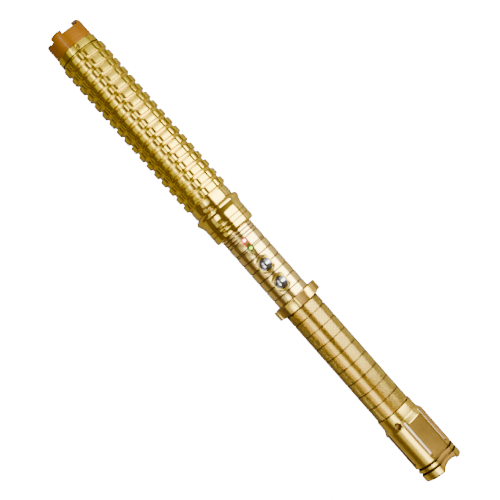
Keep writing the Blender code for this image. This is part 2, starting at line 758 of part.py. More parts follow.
def main():
    global PARTS, CUTTERS
    clear_scene()
    PARTS = new_collection("baton_torch")
    CUTTERS = new_collection("cutters")
    gold = material("gold_anodised_aluminium", (0.70, 0.47, 0.11), 0.28, 1.0)
    champagne = material("champagne_anodised_aluminium", (0.78, 0.60, 0.34), 0.30, 1.0)
    satin_gold = material("satin_gold_aluminium", (0.60, 0.42, 0.18), 0.38, 1.0)
    amber = material("amber_gold_plate", (0.60, 0.27, 0.03), 0.18, 1.0)
    chrome = material("polished_chrome", (0.78, 0.79, 0.80), 0.06, 1.0)
    steel = material("dark_steel", (0.10, 0.10, 0.11), 0.35, 1.0)
    spring = material("spring_steel", (0.55, 0.56, 0.58), 0.30, 1.0)
    brass = material("brass", (0.72, 0.53, 0.22), 0.30, 1.0)
    mirror = material("reflector_silvering", (0.92, 0.92, 0.93), 0.05, 1.0)
    glass = material("lens_glass", (0.85, 0.92, 0.93), 0.02, 0.0)
    rubber = material("seal_rubber", (0.02, 0.02, 0.02), 0.70, 0.0)
    board = material("board_green", (0.03, 0.20, 0.09), 0.45, 0.0)
    emitter = material("led_phosphor", (0.85, 0.75, 0.15), 0.40, 0.0)
    plastic = material("black_plastic", (0.03, 0.03, 0.03), 0.50, 0.0)
    red = material("red_light_guide", (0.80, 0.06, 0.02), 0.12, 0.0)
    green = material("green_light_guide", (0.10, 0.55, 0.06), 0.12, 0.0)
    red_lead = material("red_insulation", (0.55, 0.03, 0.02), 0.45, 0.0)
    wrap = material("cell_wrap", (0.10, 0.25, 0.55), 0.35, 0.0)

    make_crown_bezel(amber)
    make_crown_tips(steel)
    make_bezel_ring(gold, steel)
    make_lens(glass, rubber)
    make_reflector(mirror)
    make_led(emitter, board, brass)
    make_head_body(gold)
    make_neck_ring(gold)
    make_flared_collar(gold)
    make_control_tube(champagne)
    make_indicator("red_indicator", RED_LIGHT_STATION, red)
    make_indicator("green_indicator", GREEN_LIGHT_STATION, green)
    for name, station in (("power", POWER_STATION), ("mode", MODE_STATION)):
        make_button(name + "_button", station, chrome)
        make_button_spring(name + "_button_spring", station, spring)
        make_switch(name + "_switch", station, plastic)
    make_control_board(board, plastic)
    make_lamp_leads(red_lead, plastic)
    make_guard_ring(satin_gold)
    make_grip_tube(champagne)
    make_tail_seal(rubber)
    make_front_contact(plastic, brass)
    make_cells(wrap)
    make_tail_cap(satin_gold)
    make_tail_contact(spring, brass)

    bpy.context.view_layer.update()
    for obj in PARTS.objects:
        freeze(obj)
    for obj in list(CUTTERS.objects):
        bpy.data.objects.remove(obj)
    bpy.data.collections.remove(CUTTERS)


main()
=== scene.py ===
"""Looks of the baton torch: fine surfaces round the CAD frame, materials, light and camera.

The frame's +X is the lamp end and +Z is the button side. Details are placed by stations,
millimetres behind the front rim, or from the CAD nodes' own boxes.
"""
import math

import bmesh
import bpy
from mathutils import Matrix, Vector


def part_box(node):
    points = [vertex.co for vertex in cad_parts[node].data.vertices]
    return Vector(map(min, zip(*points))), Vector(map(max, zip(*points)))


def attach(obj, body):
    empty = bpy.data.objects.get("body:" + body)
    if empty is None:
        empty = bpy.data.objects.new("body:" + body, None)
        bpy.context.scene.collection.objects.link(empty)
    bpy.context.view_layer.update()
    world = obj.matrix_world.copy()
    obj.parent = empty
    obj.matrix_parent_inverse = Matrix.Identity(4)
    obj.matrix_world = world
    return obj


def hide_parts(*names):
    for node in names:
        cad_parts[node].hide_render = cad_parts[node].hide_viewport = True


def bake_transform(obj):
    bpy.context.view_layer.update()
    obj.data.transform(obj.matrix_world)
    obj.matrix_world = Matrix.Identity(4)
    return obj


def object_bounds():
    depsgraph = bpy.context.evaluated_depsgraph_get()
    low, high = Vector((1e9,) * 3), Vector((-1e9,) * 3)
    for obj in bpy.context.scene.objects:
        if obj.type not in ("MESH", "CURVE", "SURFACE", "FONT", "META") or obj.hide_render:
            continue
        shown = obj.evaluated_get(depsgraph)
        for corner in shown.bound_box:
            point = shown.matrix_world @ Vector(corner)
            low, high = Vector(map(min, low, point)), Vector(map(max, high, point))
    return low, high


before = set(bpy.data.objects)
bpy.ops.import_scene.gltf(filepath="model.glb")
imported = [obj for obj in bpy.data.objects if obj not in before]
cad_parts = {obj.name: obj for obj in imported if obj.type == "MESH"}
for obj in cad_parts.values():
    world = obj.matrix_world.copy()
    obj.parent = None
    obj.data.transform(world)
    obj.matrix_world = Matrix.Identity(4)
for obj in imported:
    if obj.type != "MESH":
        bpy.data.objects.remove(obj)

MM = 0.001
CAD_LOW, CAD_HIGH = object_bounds()
TIP_X = CAD_HIGH.x
TORCH = "torch"

ROUND_STEPS = 144
SHARP = math.radians(28)
GAP = 0.3                  # between neighbouring pieces, as in the CAD
FINE_LINE = (0.6, 0.3)     # width and depth of a fine turned line


# ---------------------------------------------------------------- places

def x_at(station):
    """World X, in millimetres, of a station behind the front rim."""
    return TIP_X / MM - station


def stations(node):
    """First and last station of a CAD node, in millimetres behind the front rim."""
    low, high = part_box(node)
    return (TIP_X - high.x) / MM, (TIP_X - low.x) / MM


def middle_station(node):
    low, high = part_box(node)
    return (TIP_X - (low.x + high.x) / 2) / MM


def radius_of(node):
    """Radius, in millimetres, of a CAD node that is round the torch's axis."""
    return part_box(node)[1].y / MM


def around(angle, radius):
    """(Y, Z) of a point at an angle from the top, turning towards +Y."""
    return radius * math.sin(angle), radius * math.cos(angle)


def spoke(station, angle, radius):
    """A frame at this place around the torch: its Z points outwards, its X along the torch."""
    y, z = around(angle, radius)
    place = Matrix.Translation(Vector((x_at(station), y, z)) * MM)
    return place @ Matrix.Rotation(-angle, 4, "X")


# ---------------------------------------------------------------- mesh helpers

def new_object(name, mesh):
    obj = bpy.data.objects.new(name, mesh)
    bpy.context.scene.collection.objects.link(obj)
    return obj


def from_bmesh(name, bm):
    mesh = bpy.data.meshes.new(name)
    bm.to_mesh(mesh)
    bm.free()
    return new_object(name, mesh)


def smooth(obj, angle=SHARP):
    obj.data.shade_smooth()
    obj.data.set_sharp_from_angle(angle=angle)
    return obj


def freeze(obj):
    """Replace an object's modifiers with their result."""
    graph = bpy.context.evaluated_depsgraph_get()
    mesh = bpy.data.meshes.new_from_object(obj.evaluated_get(graph))
    obj.modifiers.clear()
    obj.data = mesh
    mesh.name = obj.name
    return obj


def soften(outline, bends=4):
    """Round the corners of a closed outline: a third number in a point is its corner's reach."""
    result = []
    count = len(outline)
    for i, point in enumerate(outline):
        reach = point[2] if len(point) > 2 else 0
        here = Vector(point[:2])
        if not reach:
            result.append(tuple(here))
            continue
        before = Vector(outline[i - 1][:2]) - here
        after = Vector(outline[(i + 1) % count][:2]) - here
        start = here + before.normalized() * min(reach, before.length * 0.49)
        end = here + after.normalized() * min(reach, after.length * 0.49)
        for k in range(bends + 1):
            t = k / bends
            result.append(tuple(start * (1 - t) ** 2 + here * 2 * t * (1 - t) + end * t ** 2))
    return result


def revolve(name, outline, steps=ROUND_STEPS, upright_at=None):
    """Turn a closed outline of (station, radius) about the torch's axis.

    With upright_at, the outline is (height, radius) and turns about a vertical line there.
    """
    points = soften(outline)
    if upright_at is None:
        points = [(x_at(station), radius) for station, radius in points]
    area = 0.0
    for (x0, r0), (x1, r1) in zip(points, points[1:] + points[:1]):
        area += x0 * r1 - x1 * r0
    if area < 0:
        points.reverse()
    bm = bmesh.new()
    rings = []
    for along, radius in points:
        if radius < 1e-6:
            rings.append([bm.verts.new((along * MM, 0, 0))])
            continue
        ring = []
        for k in range(steps):
            y, z = around(math.tau * k / steps, radius)
            ring.append(bm.verts.new(Vector((along, y, z)) * MM))
        rings.append(ring)
    for one, two in zip(rings, rings[1:] + rings[:1]):
        join_rings(bm, one, two)
    obj = from_bmesh(name, bm)
    if upright_at is not None:
        obj.data.transform(Matrix.Rotation(-math.pi / 2, 4, "Y"))
        obj.data.transform(Matrix.Translation((x_at(upright_at) * MM, 0, 0)))
    return smooth(obj)


def join_rings(bm, one, two):
    """Quads between two equal rings, or a fan where one of them is a point on the axis."""
    if len(one) == 1 and len(two) == 1:
        return
    count = max(len(one), len(two))
    for k in range(count):
        n = (k + 1) % count
        if len(one) == 1:
            bm.faces.new((one[0], two[k], two[n]))
        elif len(two) == 1:
            bm.faces.new((one[k], two[0], one[n]))
        else:
            bm.faces.new((one[k], two[k], two[n], one[n]))


def block(size, matrix):
    bm = bmesh.new()
    bmesh.ops.create_cube(bm, size=1.0)
    bmesh.ops.scale(bm, vec=Vector(size) * MM, verts=bm.verts)
    obj = from_bmesh("tool", bm)
    obj.data.transform(matrix)
    return obj


def rod(radius, depth, matrix, sides=64, top=None):
    """A closed cylinder, or a cone if its upper end has a radius of its own."""
    bm = bmesh.new()
    bmesh.ops.create_cone(bm, cap_ends=True, segments=sides, radius1=radius * MM,
                          radius2=(top or radius) * MM, depth=depth * MM)
    obj = from_bmesh("tool", bm)
    obj.data.transform(matrix)
    return obj


def ball(radius, matrix):
    bm = bmesh.new()
    bmesh.ops.create_uvsphere(bm, u_segments=32, v_segments=16, radius=radius * MM)
    obj = from_bmesh("tool", bm)
    obj.data.transform(matrix)
    return obj


def stadium(length, width, depth, matrix, top=None):
    """A round-ended block: a rod whose two halves are drawn apart along X."""
    obj = rod(width / 2, depth, Matrix.Identity(4), 24, top)
    stretch = (length - width) / 2 * MM
    for vertex in obj.data.vertices:
        vertex.co.x += math.copysign(stretch, vertex.co.x)
    obj.data.transform(matrix)
    return obj


def carve(obj, tools):
    """Cut a list of closed tools out of an object, and remove them."""
    for tool in tools:
        boolean = obj.modifiers.new("Cut", "BOOLEAN")
        boolean.operation = "DIFFERENCE"
        boolean.object = tool
    bpy.context.view_layer.update()
    freeze(obj)
    for tool in tools:
        bpy.data.objects.remove(tool)
    return obj


def break_edges(obj, width, segments=2):
    """A small machined round on every sharp edge."""
    bevel = obj.modifiers.new("Edges", "BEVEL")
    bevel.width = width * MM
    bevel.segments = segments
    bevel.limit_method = "ANGLE"
    bevel.angle_limit = math.radians(35)
    bpy.context.view_layer.update()
    return smooth(freeze(obj))


def paint_faces(obj, mat, chosen):
    """Give a further material to the faces that chosen(centre, normal) picks, in millimetres."""
    obj.data.materials.append(mat)
    slot = len(obj.data.materials) - 1
    for face in obj.data.polygons:
        if chosen(face.center / MM, face.normal):
            face.material_index = slot


def station_of(point):
    return TIP_X / MM - point.x


def reach_of(point):
    """How far a point is from the torch's axis."""
    return math.hypot(point.y, point.z)


def angle_of(point):
    return math.atan2(point.y, point.z)


def in_area(point, first, last, inner, outer):
    """Whether a point lies between two stations and between two radii, in millimetres."""
    return first < station_of(point) < last and inner < reach_of(point) < outer


def dress(obj, mat, body, node=None):
    """Give a piece its material and its body, and hide the CAD node that it stands for."""
    obj.data.materials.clear()
    obj.data.materials.append(mat)
    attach(obj, body)
    if node:
        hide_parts(node)
    return obj


# ---------------------------------------------------------------- materials

class Shader:
    """A Principled material with a few short ways to add the nodes that feed it."""

    def __init__(self, name, colour, roughness, metallic=0.0):
        self.mat = bpy.data.materials.new(name)
        self.mat.use_nodes = True
        self.tree = self.mat.node_tree
        self.bsdf = self.tree.nodes["Principled BSDF"]
        self.set("Base Color", (*colour, 1.0))
        self.set("Roughness", roughness)
        self.set("Metallic", metallic)

    def set(self, socket, value):
        self.bsdf.inputs[socket].default_value = value

    def node(self, kind, **settings):
        node = self.tree.nodes.new(kind)
        for key, value in settings.items():
            setattr(node, key, value)
        return node

    def link(self, output, target):
        self.tree.links.new(output, target)

    def noise(self, stretch, scale, detail=3.0):
        """Noise over the object's own space, squeezed by stretch along each axis."""
        place = self.node("ShaderNodeTexCoord")
        mapping = self.node("ShaderNodeMapping")
        mapping.inputs["Scale"].default_value = stretch
        texture = self.node("ShaderNodeTexNoise")
        texture.inputs["Scale"].default_value = scale
        texture.inputs["Detail"].default_value = detail
        self.link(place.outputs["Object"], mapping.inputs["Vector"])
        self.link(mapping.outputs["Vector"], texture.inputs["Vector"])
        return texture.outputs["Fac"]

    def ramp(self, factor, stops):
        ramp = self.node("ShaderNodeValToRGB")
        elements = ramp.color_ramp.elements
        while len(elements) < len(stops):
            elements.new(0.5)
        for element, (position, colour) in zip(elements, stops):
            element.position = position
            element.color = (*colour, 1.0)
        self.link(factor, ramp.inputs["Fac"])
        return ramp.outputs["Color"]

    def spread(self, factor, low, high):
        """A factor of about 0.3 to 0.7 spread between two values."""
        spread = self.node("ShaderNodeMapRange")
        spread.inputs["From Min"].default_value = 0.3
        spread.inputs["From Max"].default_value = 0.7
        spread.inputs["To Min"].default_value = low
        spread.inputs["To Max"].default_value = high
        self.link(factor, spread.inputs["Value"])
        return spread.outputs["Result"]

    def bump(self, height, distance, strength=1.0, after=None):
        bump = self.node("ShaderNodeBump")
        bump.inputs["Distance"].default_value = distance
        bump.inputs["Strength"].default_value = strength
        self.link(height, bump.inputs["Height"])
        if after is not None:
            self.link(after, bump.inputs["Normal"])
        self.link(bump.outputs["Normal"], self.bsdf.inputs["Normal"])
        return bump.outputs["Normal"]


def turned_metal(name, light, dark, roughness, lathe=0.000012, metallic=1.0):
    """Anodised metal off a lathe: fine lines round it, cloudy colour and uneven gloss."""
    shader = Shader(name, light, roughness, metallic)
    cloud = shader.noise((1, 1, 1), 55.0, 2.0)
    tint = shader.ramp(cloud, [(0.30, dark), (0.62, light)])
    shader.link(tint, shader.bsdf.inputs["Base Color"])
    lines = shader.noise((1, 0.004, 0.004), 5200.0, 4.0)
    gloss = shader.spread(lines, roughness * 0.8, roughness * 1.25)
    shader.link(gloss, shader.bsdf.inputs["Roughness"])
    first = shader.bump(lines, lathe, 0.6)
    grain = shader.noise((1, 1, 1), 2600.0, 3.0)
    shader.bump(grain, lathe * 0.5, 0.4, first)
    return shader.mat


def crown_finish():
    """Amber lacquer over metal: deep orange under a clear glossy coat."""
    shader = Shader("amber_lacquer", (0.225, 0.084, 0.0), 0.42, 0.35)
    cloud = shader.noise((1, 1, 1), 60.0, 2.0)
    tint = shader.ramp(cloud, [(0.30, (0.195, 0.071, 0.0)), (0.65, (0.23, 0.088, 0.0))])
    shader.link(tint, shader.bsdf.inputs["Base Color"])
    shader.set("Specular IOR Level", 0.0)
    shader.set("Coat Weight", 0.3)
    shader.set("Coat Roughness", 0.06)
    lines = shader.noise((1, 0.01, 0.01), 3000.0, 2.0)
    shader.bump(lines, 0.000006, 0.4)
    return shader.mat


def chrome_finish(name, roughness=0.05, tone=1.0):
    shader = Shader(name, (0.72 * tone, 0.72 * tone, 0.74 * tone), roughness, 1.0)
    smear = shader.noise((1, 1, 1), 240.0, 4.0)
    shader.link(shader.spread(smear, roughness * 0.7, roughness * 1.9),
                shader.bsdf.inputs["Roughness"])
    low, high = 0.64 * tone, 0.78 * tone
    tint = shader.ramp(smear, [(0.35, (low, low, low * 1.04)), (0.65, (high, high, high * 1.02))])
    shader.link(tint, shader.bsdf.inputs["Base Color"])
    return shader.mat


def dark_steel_finish():
    shader = Shader("blackened_steel", (0.05, 0.05, 0.055), 0.36, 1.0)
    wear = shader.noise((1, 1, 1), 900.0, 4.0)
    tint = shader.ramp(wear, [(0.35, (0.03, 0.03, 0.034)), (0.70, (0.14, 0.14, 0.15))])
    shader.link(tint, shader.bsdf.inputs["Base Color"])
    shader.bump(wear, 0.00002, 0.4)
    return shader.mat


def painted_glow_finish(name, colour, glow):
    """Painted glow: the metal close round a lamp is given the lamp's colour as emission."""
    shader = Shader(name, colour, 0.35, 1.0)
    cloud = shader.noise((1, 1, 1), 400.0, 2.0)
    dim = tuple(part * 0.7 for part in colour)
    shader.link(shader.ramp(cloud, [(0.3, dim), (0.7, colour)]), shader.bsdf.inputs["Base Color"])
    shader.set("Emission Color", (*colour, 1.0))
    shader.set("Emission Strength", glow)
    return shader.mat


def lamp_dome_finish(name, colour, core, glow):
    """A clear coloured dome lit from below: its middle is brighter than its rim."""
    shader = Shader(name, colour, 0.12)
    shader.set("Coat Weight", 0.6)
    facing = shader.node("ShaderNodeLayerWeight")
    facing.inputs["Blend"].default_value = 0.45
    light = shader.ramp(facing.outputs["Facing"], [(0.22, core), (0.52, colour)])
    shader.link(light, shader.bsdf.inputs["Emission Color"])
    grain = shader.noise((1, 1, 1), 1500.0, 2.0)
    shader.link(shader.spread(grain, 0.08, 0.20), shader.bsdf.inputs["Roughness"])
    shader.set("Emission Strength", glow)
    return shader.mat


def moulded(name, colour, roughness, grain_size=1800.0, depth=0.00002):
    """Moulded plastic, rubber or board: a slight cloud in its colour and a fine grain."""
    shader = Shader(name, colour, roughness)
    darker = tuple(part * 0.72 for part in colour)
    cloud = shader.noise((1, 1, 1), 90.0, 2.0)
    shader.link(shader.ramp(cloud, [(0.3, darker), (0.7, colour)]),
                shader.bsdf.inputs["Base Color"])
    grain = shader.noise((1, 1, 1), grain_size, 3.0)
    shader.link(shader.spread(grain, roughness * 0.85, min(1.0, roughness * 1.15)),
                shader.bsdf.inputs["Roughness"])
    shader.bump(grain, depth, 0.5)
    return shader.mat


def glass_finish():
    shader = Shader("lens_glass", (0.93, 0.97, 0.98), 0.02)
    shader.set("Transmission Weight", 1.0)
    shader.set("IOR", 1.5)
    smear = shader.noise((1, 1, 1), 160.0, 3.0)
    shader.link(shader.spread(smear, 0.01, 0.05), shader.bsdf.inputs["Roughness"])
    return shader.mat


def floor_finish(glow):
    """A pale sheet, lit from within for the camera alone so that it reads as a white ground."""
    shader = Shader("pale_floor", (0.80, 0.80, 0.80), 0.7)
    rays = shader.node("ShaderNodeLightPath")
    seen = rays.outputs["Is Camera Ray"]
    shader.link(shader.ramp(seen, [(0.0, (0.17, 0.145, 0.12)), (1.0, (0.80, 0.80, 0.80))]),
                shader.bsdf.inputs["Base Color"])
    shader.link(shader.ramp(seen, [(0.0, (0.0, 0.0, 0.0)), (1.0, (1.0, 1.0, 1.0))]),
                shader.bsdf.inputs["Emission Color"])
    shader.set("Emission Strength", glow)
    return shader.mat


GOLD = turned_metal("gold_anodised", (0.84, 0.63, 0.02), (0.75, 0.54, 0.01), 0.17)
POLISHED = turned_metal("polished_gold", (0.86, 0.63, 0.07), (0.80, 0.56, 0.04), 0.10, 0.000001)
CHAMPAGNE = turned_metal("champagne_anodised", (0.86, 0.64, 0.17), (0.80, 0.57, 0.12), 0.17)
SATIN = turned_metal("satin_gold_anodised", (0.80, 0.56, 0.06), (0.71, 0.47, 0.04), 0.20, 0.000003)
# Rough finish, darkened by painted shade: used on the cap's flats, the guard's scallops, the head's
# slots and the grub screw.
MILLED_SHADE = turned_metal("milled_gold_painted_shade", (0.24, 0.145, 0.025), (0.18, 0.105, 0.016), 0.62)
# Painted shade: a dark brown copy of the gold, put in grooves, gaps and on shaded edges.
PAINTED_SHADE = turned_metal("painted_shade_brown", (0.10, 0.048, 0.008), (0.06, 0.028, 0.005), 0.50)
KNURL = turned_metal("knurled_gold", (0.62, 0.44, 0.07), (0.52, 0.36, 0.05), 0.20, 0.000004)
# Painted shade: dark brown for the knurl's groove flanks, the cap's grooves, slot walls and
# dimples.
VALLEY_SHADE = turned_metal("painted_valley_shade", (0.16, 0.085, 0.02), (0.10, 0.05, 0.01), 0.45)
# Painted highlight: a pale, bright colour for the floors of the cap's slots.
SLOT_FLOOR_HIGHLIGHT = turned_metal("slot_floor", (0.92, 0.78, 0.46), (0.86, 0.70, 0.38), 0.55)
AMBER = crown_finish()
CHROME = chrome_finish("button_chrome", 0.07, 0.55)
DARK_STEEL = dark_steel_finish()
SPRING_STEEL = turned_metal("spring_wire", (0.62, 0.62, 0.64), (0.50, 0.50, 0.52), 0.30)
BRASS = turned_metal("turned_brass", (0.78, 0.56, 0.22), (0.66, 0.44, 0.15), 0.28)
SILVERING = chrome_finish("reflector_silvering", 0.04)
GLASS = glass_finish()
RUBBER = moulded("seal_rubber", (0.016, 0.016, 0.017), 0.72)
PLASTIC = moulded("black_plastic", (0.028, 0.028, 0.030), 0.48)
BOARD = moulded("board_resist", (0.012, 0.15, 0.055), 0.38, 700.0)
PHOSPHOR = moulded("led_phosphor", (0.80, 0.66, 0.10), 0.35)
RED_SLEEVE = moulded("red_sleeve", (0.42, 0.016, 0.012), 0.42)
CELL_WRAP = moulded("cell_sleeve", (0.03, 0.12, 0.42), 0.30, 500.0)
RED_DOME = lamp_dome_finish("red_dome", (0.14, 0.002, 0.0), (1.0, 0.80, 0.70), 9.0)
GREEN_DOME = lamp_dome_finish("green_dome", (0.01, 0.05, 0.0), (0.80, 1.0, 0.0), 4.0)
RED_PAINTED_GLOW = painted_glow_finish("red_painted_glow", (0.80, 0.05, 0.0), 0.9)
GREEN_PAINTED_GLOW = painted_glow_finish("green_painted_glow", (0.03, 0.13, 0.02), 0.25)


# ---------------------------------------------------------------- front end

NOTCH_COUNT = 4
NOTCH_FIRST = math.radians(-24.5)
NOTCH_WIDTH = math.radians(58)
NOTCH_DEPTH = 3.6
CROWN_NOSE = 2.6
CROWN_LINE = 2.25          # the turned line's distance from the shoulder
CROWN_LINE_HALF = 0.15
CROWN_LINE_DEPTH = 0.14
SCREW_HOLE_R = 1.3
DARK_EDGE = 0.42           # shaded strip on the bezel ring's rear edge


def make_crown():
    """The toothed bezel: a rounded rim with four notches, and a fine turned line behind it."""
    start, spigot_end = stations("crown_bezel")
    shoulder = stations("bezel_ring")[0] - GAP
    outer = radius_of("crown_bezel")
    lip_end = stations("lens")[0] - GAP
    spigot_r = 14.0
    lens_bore_r = 12.7
    lip_r = 11.4
    line = shoulder - CROWN_LINE
    outline = [(start, lip_r, 0.4), (start, outer, CROWN_NOSE)]
    outline += [(line - CROWN_LINE_HALF, outer, 0.1), (line, outer - CROWN_LINE_DEPTH, 0.1)]
    outline += [(line + CROWN_LINE_HALF, outer, 0.1), (shoulder, outer, 0.3)]
    outline += [(shoulder, spigot_r), (spigot_end, spigot_r), (spigot_end, lens_bore_r)]
    outline += [(lip_end, lens_bore_r), (lip_end, lip_r)]
    crown = revolve("crown_body", outline)
    chord = 2 * outer * math.sin(NOTCH_WIDTH / 2)
    height = 9.0
    tools = []
    for i in range(NOTCH_COUNT):
        angle = NOTCH_FIRST + i * math.tau / NOTCH_COUNT
        tools.append(block((2 * NOTCH_DEPTH, chord, height), spoke(start, angle, outer)))
    carve(crown, tools)
    break_edges(crown, 0.30)
    dress(crown, AMBER, TORCH, "crown_bezel")


def make_bezel_ring():
    """A plain ring with a small screw hole, and a strip of painted shade on its rear edge."""
    start, end = stations("bezel_ring")
    outer = radius_of("bezel_ring")
    bore = 14.3
    outline = [(start, bore), (start, outer, 0.45), (end, outer, 0.45), (end, bore)]
    ring = revolve("bezel_band", outline)
    low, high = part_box("bezel_grub_screw")
    middle = (low + high) / 2
    angle = math.atan2(middle.y, middle.z)
    station = (TIP_X - middle.x) / MM
    depth = 4.0
    carve(ring, [rod(SCREW_HOLE_R, depth, spoke(station, angle, outer), 32)])
    break_edges(ring, 0.12)
    dress(ring, GOLD, TORCH, "bezel_ring")
    # Painted shade on the ring's rear edge.
    paint_faces(ring, PAINTED_SHADE, lambda centre, normal: station_of(centre) > end - DARK_EDGE)


# ---------------------------------------------------------------- ribbed head

RIB_COUNT = 17
RIB_CREST_HALF = 2.15
RIB_FOOT_HALF = 2.95
VALLEY_R = 15.45
HEAD_SEAT_R = 14.3
HEAD_SEAT_END = 28.0
HEAD_BORE_R = 13.6
TILE_PATTERN = 8
FIRST_TILE = math.radians(-1.8)
NARROW_TILE = math.radians(10.6)
TILE_SLOT = math.radians(4.6)
TILE_SLOT_DEPTH = 1.15
NARROW_STEPS = 8
WIDE_STEPS = 20
NARROW_CROWN = 0.20        # how far a tile drops at its edges, as a share of the slot's depth
WIDE_DROP = 0.12
WIDE_LEVEL = 0.8           # the share of a wide tile's half width that is level
SLOT_WALL = math.radians(0.35)


def tile_angles():
    """Angles round the head and, for each, how high the surface is: 0 slot floor, 1 tile.

    The narrow tiles are crowned, and the wide ones are rounded off towards the slots.
    """
    period = math.tau / TILE_PATTERN
    half = NARROW_TILE / 2
    wide_start = half + TILE_SLOT
    wide_end = period - wide_start
    samples = []
    for k in range(NARROW_STEPS + 1):
        across = 2 * k / NARROW_STEPS - 1
        samples.append((half * across, 1.0 - NARROW_CROWN * across ** 2))
    samples.append((half + SLOT_WALL, 0.0))
    samples.append((wide_start - SLOT_WALL, 0.0))
    for k in range(WIDE_STEPS + 1):
        past = max(0.0, abs(2 * k / WIDE_STEPS - 1) - WIDE_LEVEL) / (1 - WIDE_LEVEL)
        samples.append((wide_start + (wide_end - wide_start) * k / WIDE_STEPS,
                        1.0 - WIDE_DROP * past ** 2))
    samples.append((wide_end + SLOT_WALL, 0.0))
    samples.append((period - half - SLOT_WALL, 0.0))
    return [(FIRST_TILE + i * period + angle, level) for i in range(TILE_PATTERN)
            for angle, level in samples]


def rib_outline(start, end, crest):
    """The ribbed tube's outside, front to back: sloping flanks and softened corners."""
    pitch = (end - start) / RIB_COUNT
    points = [(start, VALLEY_R, 0.1)]
    for i in range(RIB_COUNT):
        middle = start + (i + 0.5) * pitch
        points.append((middle - RIB_FOOT_HALF, VALLEY_R, 0.28))
        points.append((middle - RIB_CREST_HALF, crest, 0.20))
        points.append((middle + RIB_CREST_HALF, crest, 0.20))
        points.append((middle + RIB_FOOT_HALF, VALLEY_R, 0.28))
    points.append((end, VALLEY_R, 0.1))
    return soften(points, 4)


def make_head():
    """The ribs are cut lengthwise by slots into narrow and wide tiles, eight of each round."""
    start, end = stations("head_body")
    crest = radius_of("head_body")
    slot_floor = crest - TILE_SLOT_DEPTH
    angles = tile_angles()
    outside = rib_outline(start, end, crest)
    inside = [(end, HEAD_BORE_R), (HEAD_SEAT_END, HEAD_BORE_R)]
    inside += [(HEAD_SEAT_END, HEAD_SEAT_R), (start, HEAD_SEAT_R)]
    bm = bmesh.new()
    rings = []
    for station, radius in outside:
        ring = []
        for angle, level in angles:
            height = slot_floor + (crest - slot_floor) * level
            y, z = around(angle, min(radius, height))
            ring.append(bm.verts.new(Vector((x_at(station), y, z)) * MM))
        rings.append(ring)
    for station, radius in inside:
        ring = []
        for angle, _ in angles:
            y, z = around(angle, radius)
            ring.append(bm.verts.new(Vector((x_at(station), y, z)) * MM))
        rings.append(ring)
    for one, two in zip(rings, rings[1:] + rings[:1]):
        join_rings(bm, one, two)
    bmesh.ops.recalc_face_normals(bm, faces=bm.faces)
    head = smooth(from_bmesh("ribbed_head", bm), math.radians(24))
    dress(head, GOLD, TORCH, "head_body")

    def in_slot(centre, normal):
        period = math.tau / TILE_PATTERN
        turned = (angle_of(centre) - FIRST_TILE) % period
        from_tile = min(turned, period - turned) - NARROW_TILE / 2
        level = 0 < from_tile < TILE_SLOT and abs(normal.x) < 0.5
        return level and slot_floor - 0.05 < reach_of(centre) < crest - 0.30

    # Painted shade: the slots' walls and floors take the dark brown colour.
    paint_faces(head, MILLED_SHADE, in_slot)


# ---------------------------------------------------------------- collar

def make_neck():
    """A plain ring with a fine step at each end."""
    start, end = stations("neck_ring")
    outer = radius_of("neck_ring")
    bore, step, lip = 13.6, 0.35, 0.9
    outline = [(start, bore), (start, outer - step, 0.1), (start + lip, outer - step)]
    outline += [(start + lip, outer, 0.18), (end - lip, outer, 0.18), (end - lip, outer - step)]
    outline += [(end, outer - step, 0.1), (end, bore)]
    dress(revolve("neck_band", outline), POLISHED, TORCH, "neck_ring")


def groove(station, radius, width, depth):
    """Outline points of a fine turned groove with softened lips."""
    half = width / 2
    return [(station - half, radius, width * 0.2), (station - half * 0.35, radius - depth),
            (station + half * 0.35, radius - depth), (station + half, radius, width * 0.2)]


COLLAR_LINES = (9.1, 5.4)  # their distances from the collar's rear end


def make_collar():
    """A ridge, a hollow sweep and a cylinder with two engraved lines, on a spigot."""
    spigot_start, end = stations("flared_collar")
    start = stations("neck_ring")[1] + GAP
    crest_r = radius_of("flared_collar")
    cylinder_r, neck_r = 16.1, radius_of("neck_ring") - 0.2
    bore_r, spigot_r = 12.15, 13.2
    rise, top, sweep = 2.8, 0.8, 5.8
    crest = start + rise + top
    outline = [(spigot_start, bore_r), (spigot_start, spigot_r), (start, spigot_r)]
    steps = 12
    for i in range(steps + 1):
        angle = i / steps * math.pi / 2
        outline.append((start + rise * (1 - math.cos(angle)),
                        neck_r + (crest_r - neck_r) * math.sin(angle)))
    outline.append((crest, crest_r, 0.6))
    for i in range(1, steps + 1):
        share = i / steps
        outline.append((crest + sweep * share,
                        cylinder_r + (crest_r - cylinder_r) * (1 - share) ** 2))
    for offset in COLLAR_LINES:
        outline += groove(end - offset, cylinder_r, *FINE_LINE)
    outline += [(end, cylinder_r, 1.8), (end, bore_r)]
    collar = revolve("collar_sweep", outline)
    dress(collar, POLISHED, TORCH, "flared_collar")
    # Painted shade: the faces inside the two engraved lines are dark.
    lines = (crest + sweep, end - 2, cylinder_r - 0.35, cylinder_r - 0.12)
    paint_faces(collar, PAINTED_SHADE, lambda centre, normal: in_area(centre, *lines))


# ---------------------------------------------------------------- control section

ENGRAVED = (182.6, 185.3, 187.7, 194.6, 195.9, 202.4, 210.3, 218.1, 225.9, 233.7)
ENGRAVED_SIZE = (0.75, 0.42)
BUTTONS = ("power_button", "mode_button")
LAMPS = ("red_indicator", "green_indicator")
SPOT_FACE_R = 6.7
SPOT_FACE_FLOOR = 11.7
BUTTON_HOLE_R = 4.55
LAMP_RECESS_R = 2.05
LAMP_RECESS_FLOOR = 12.1
LAMP_HOLE_R = 1.7
LIT_R = 2.25               # the lamp's painted glow on the metal reaches as far as this
